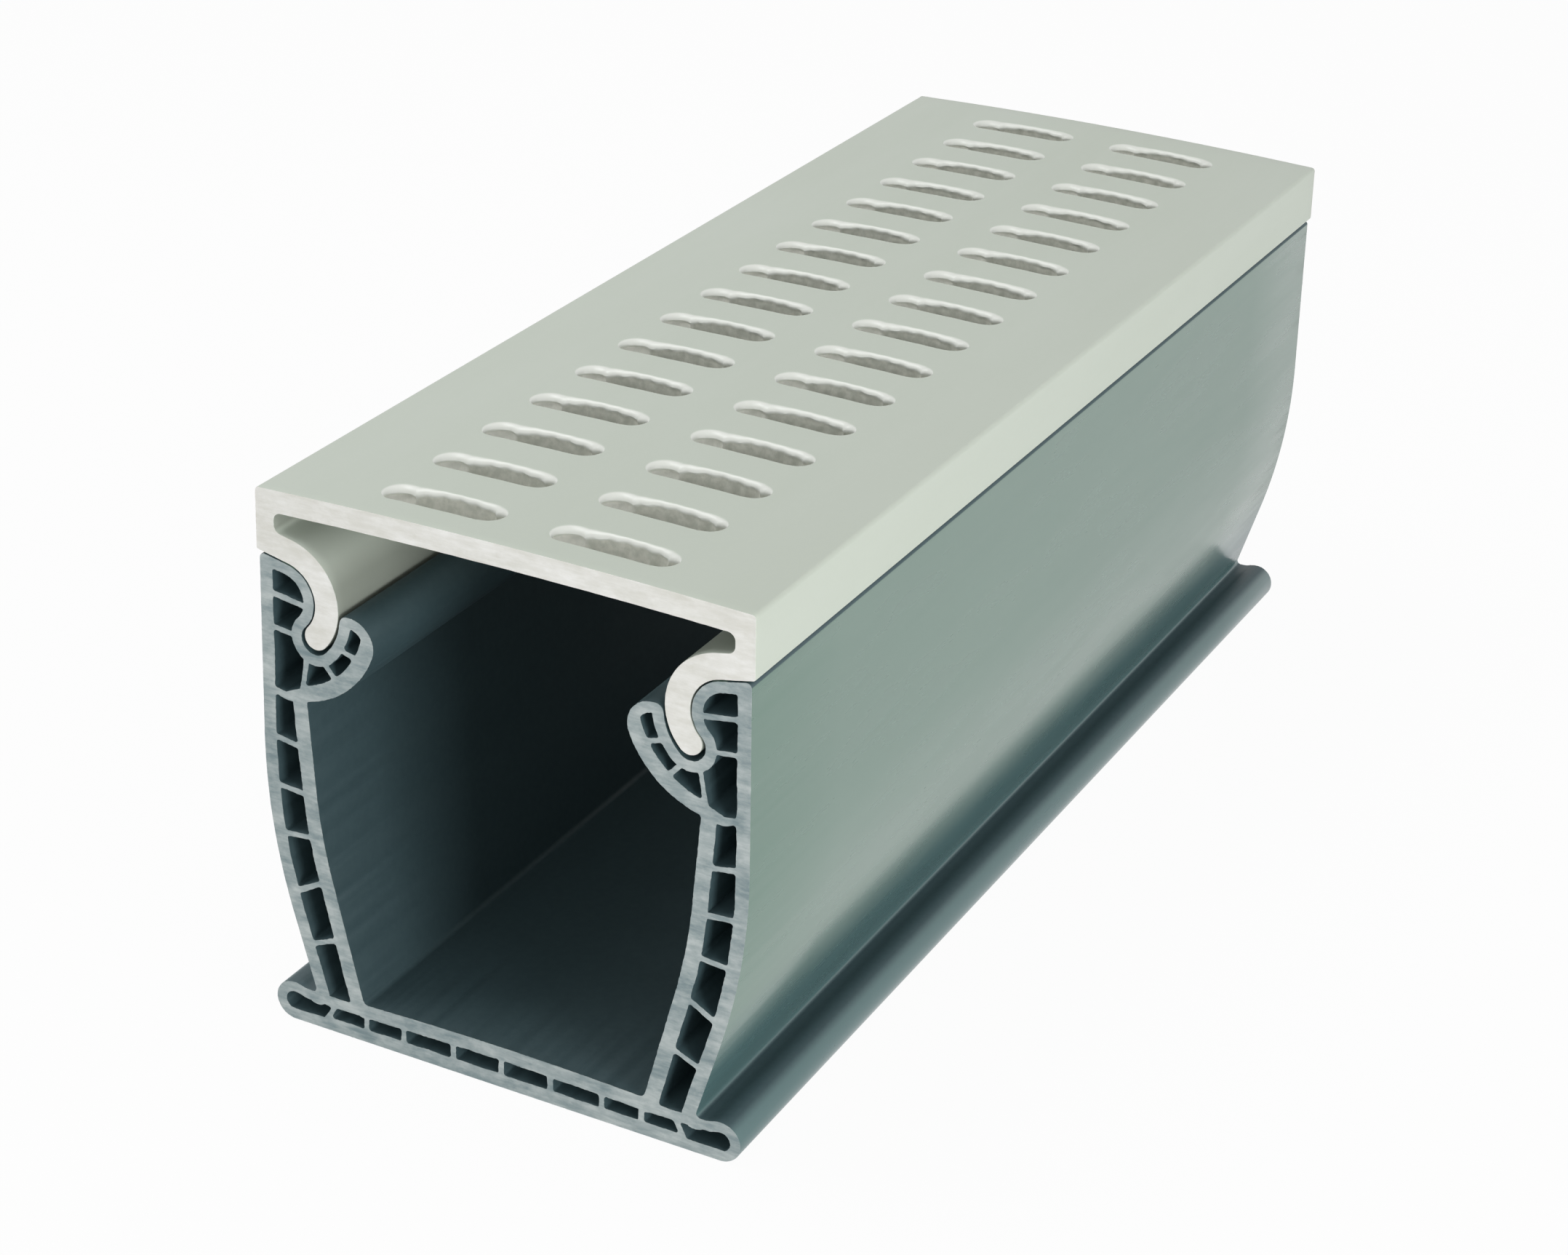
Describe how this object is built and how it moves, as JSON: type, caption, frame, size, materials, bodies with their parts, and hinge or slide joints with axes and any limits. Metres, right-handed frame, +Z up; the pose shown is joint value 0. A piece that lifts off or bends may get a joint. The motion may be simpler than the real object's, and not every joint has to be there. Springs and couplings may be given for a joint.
{
  "type": "channel drain with slotted cover",
  "caption": "Length of hollow walled U channel drain with side flanges and a clip-on slotted cover.",
  "frame": {"origin": "centre of the channel's flat underside", "axes": "+Z up through the cover, Y along the drain, X across it"},
  "size_m": [0.098, 0.264, 0.1077],
  "materials": {
    "channel_plastic": "gloss",
    "cover_plastic": "satin"
  },
  "bodies": {
    "channel": {"channel_body": "channel_plastic"},
    "cover": {"grate_cover": "cover_plastic"}
  },
  "joints": [
    {"name": "cover_slide", "type": "slide", "parent": "channel", "child": "cover", "axis": [0, 1, 0], "range_m": [-0.264, 0.264]}
  ]
}
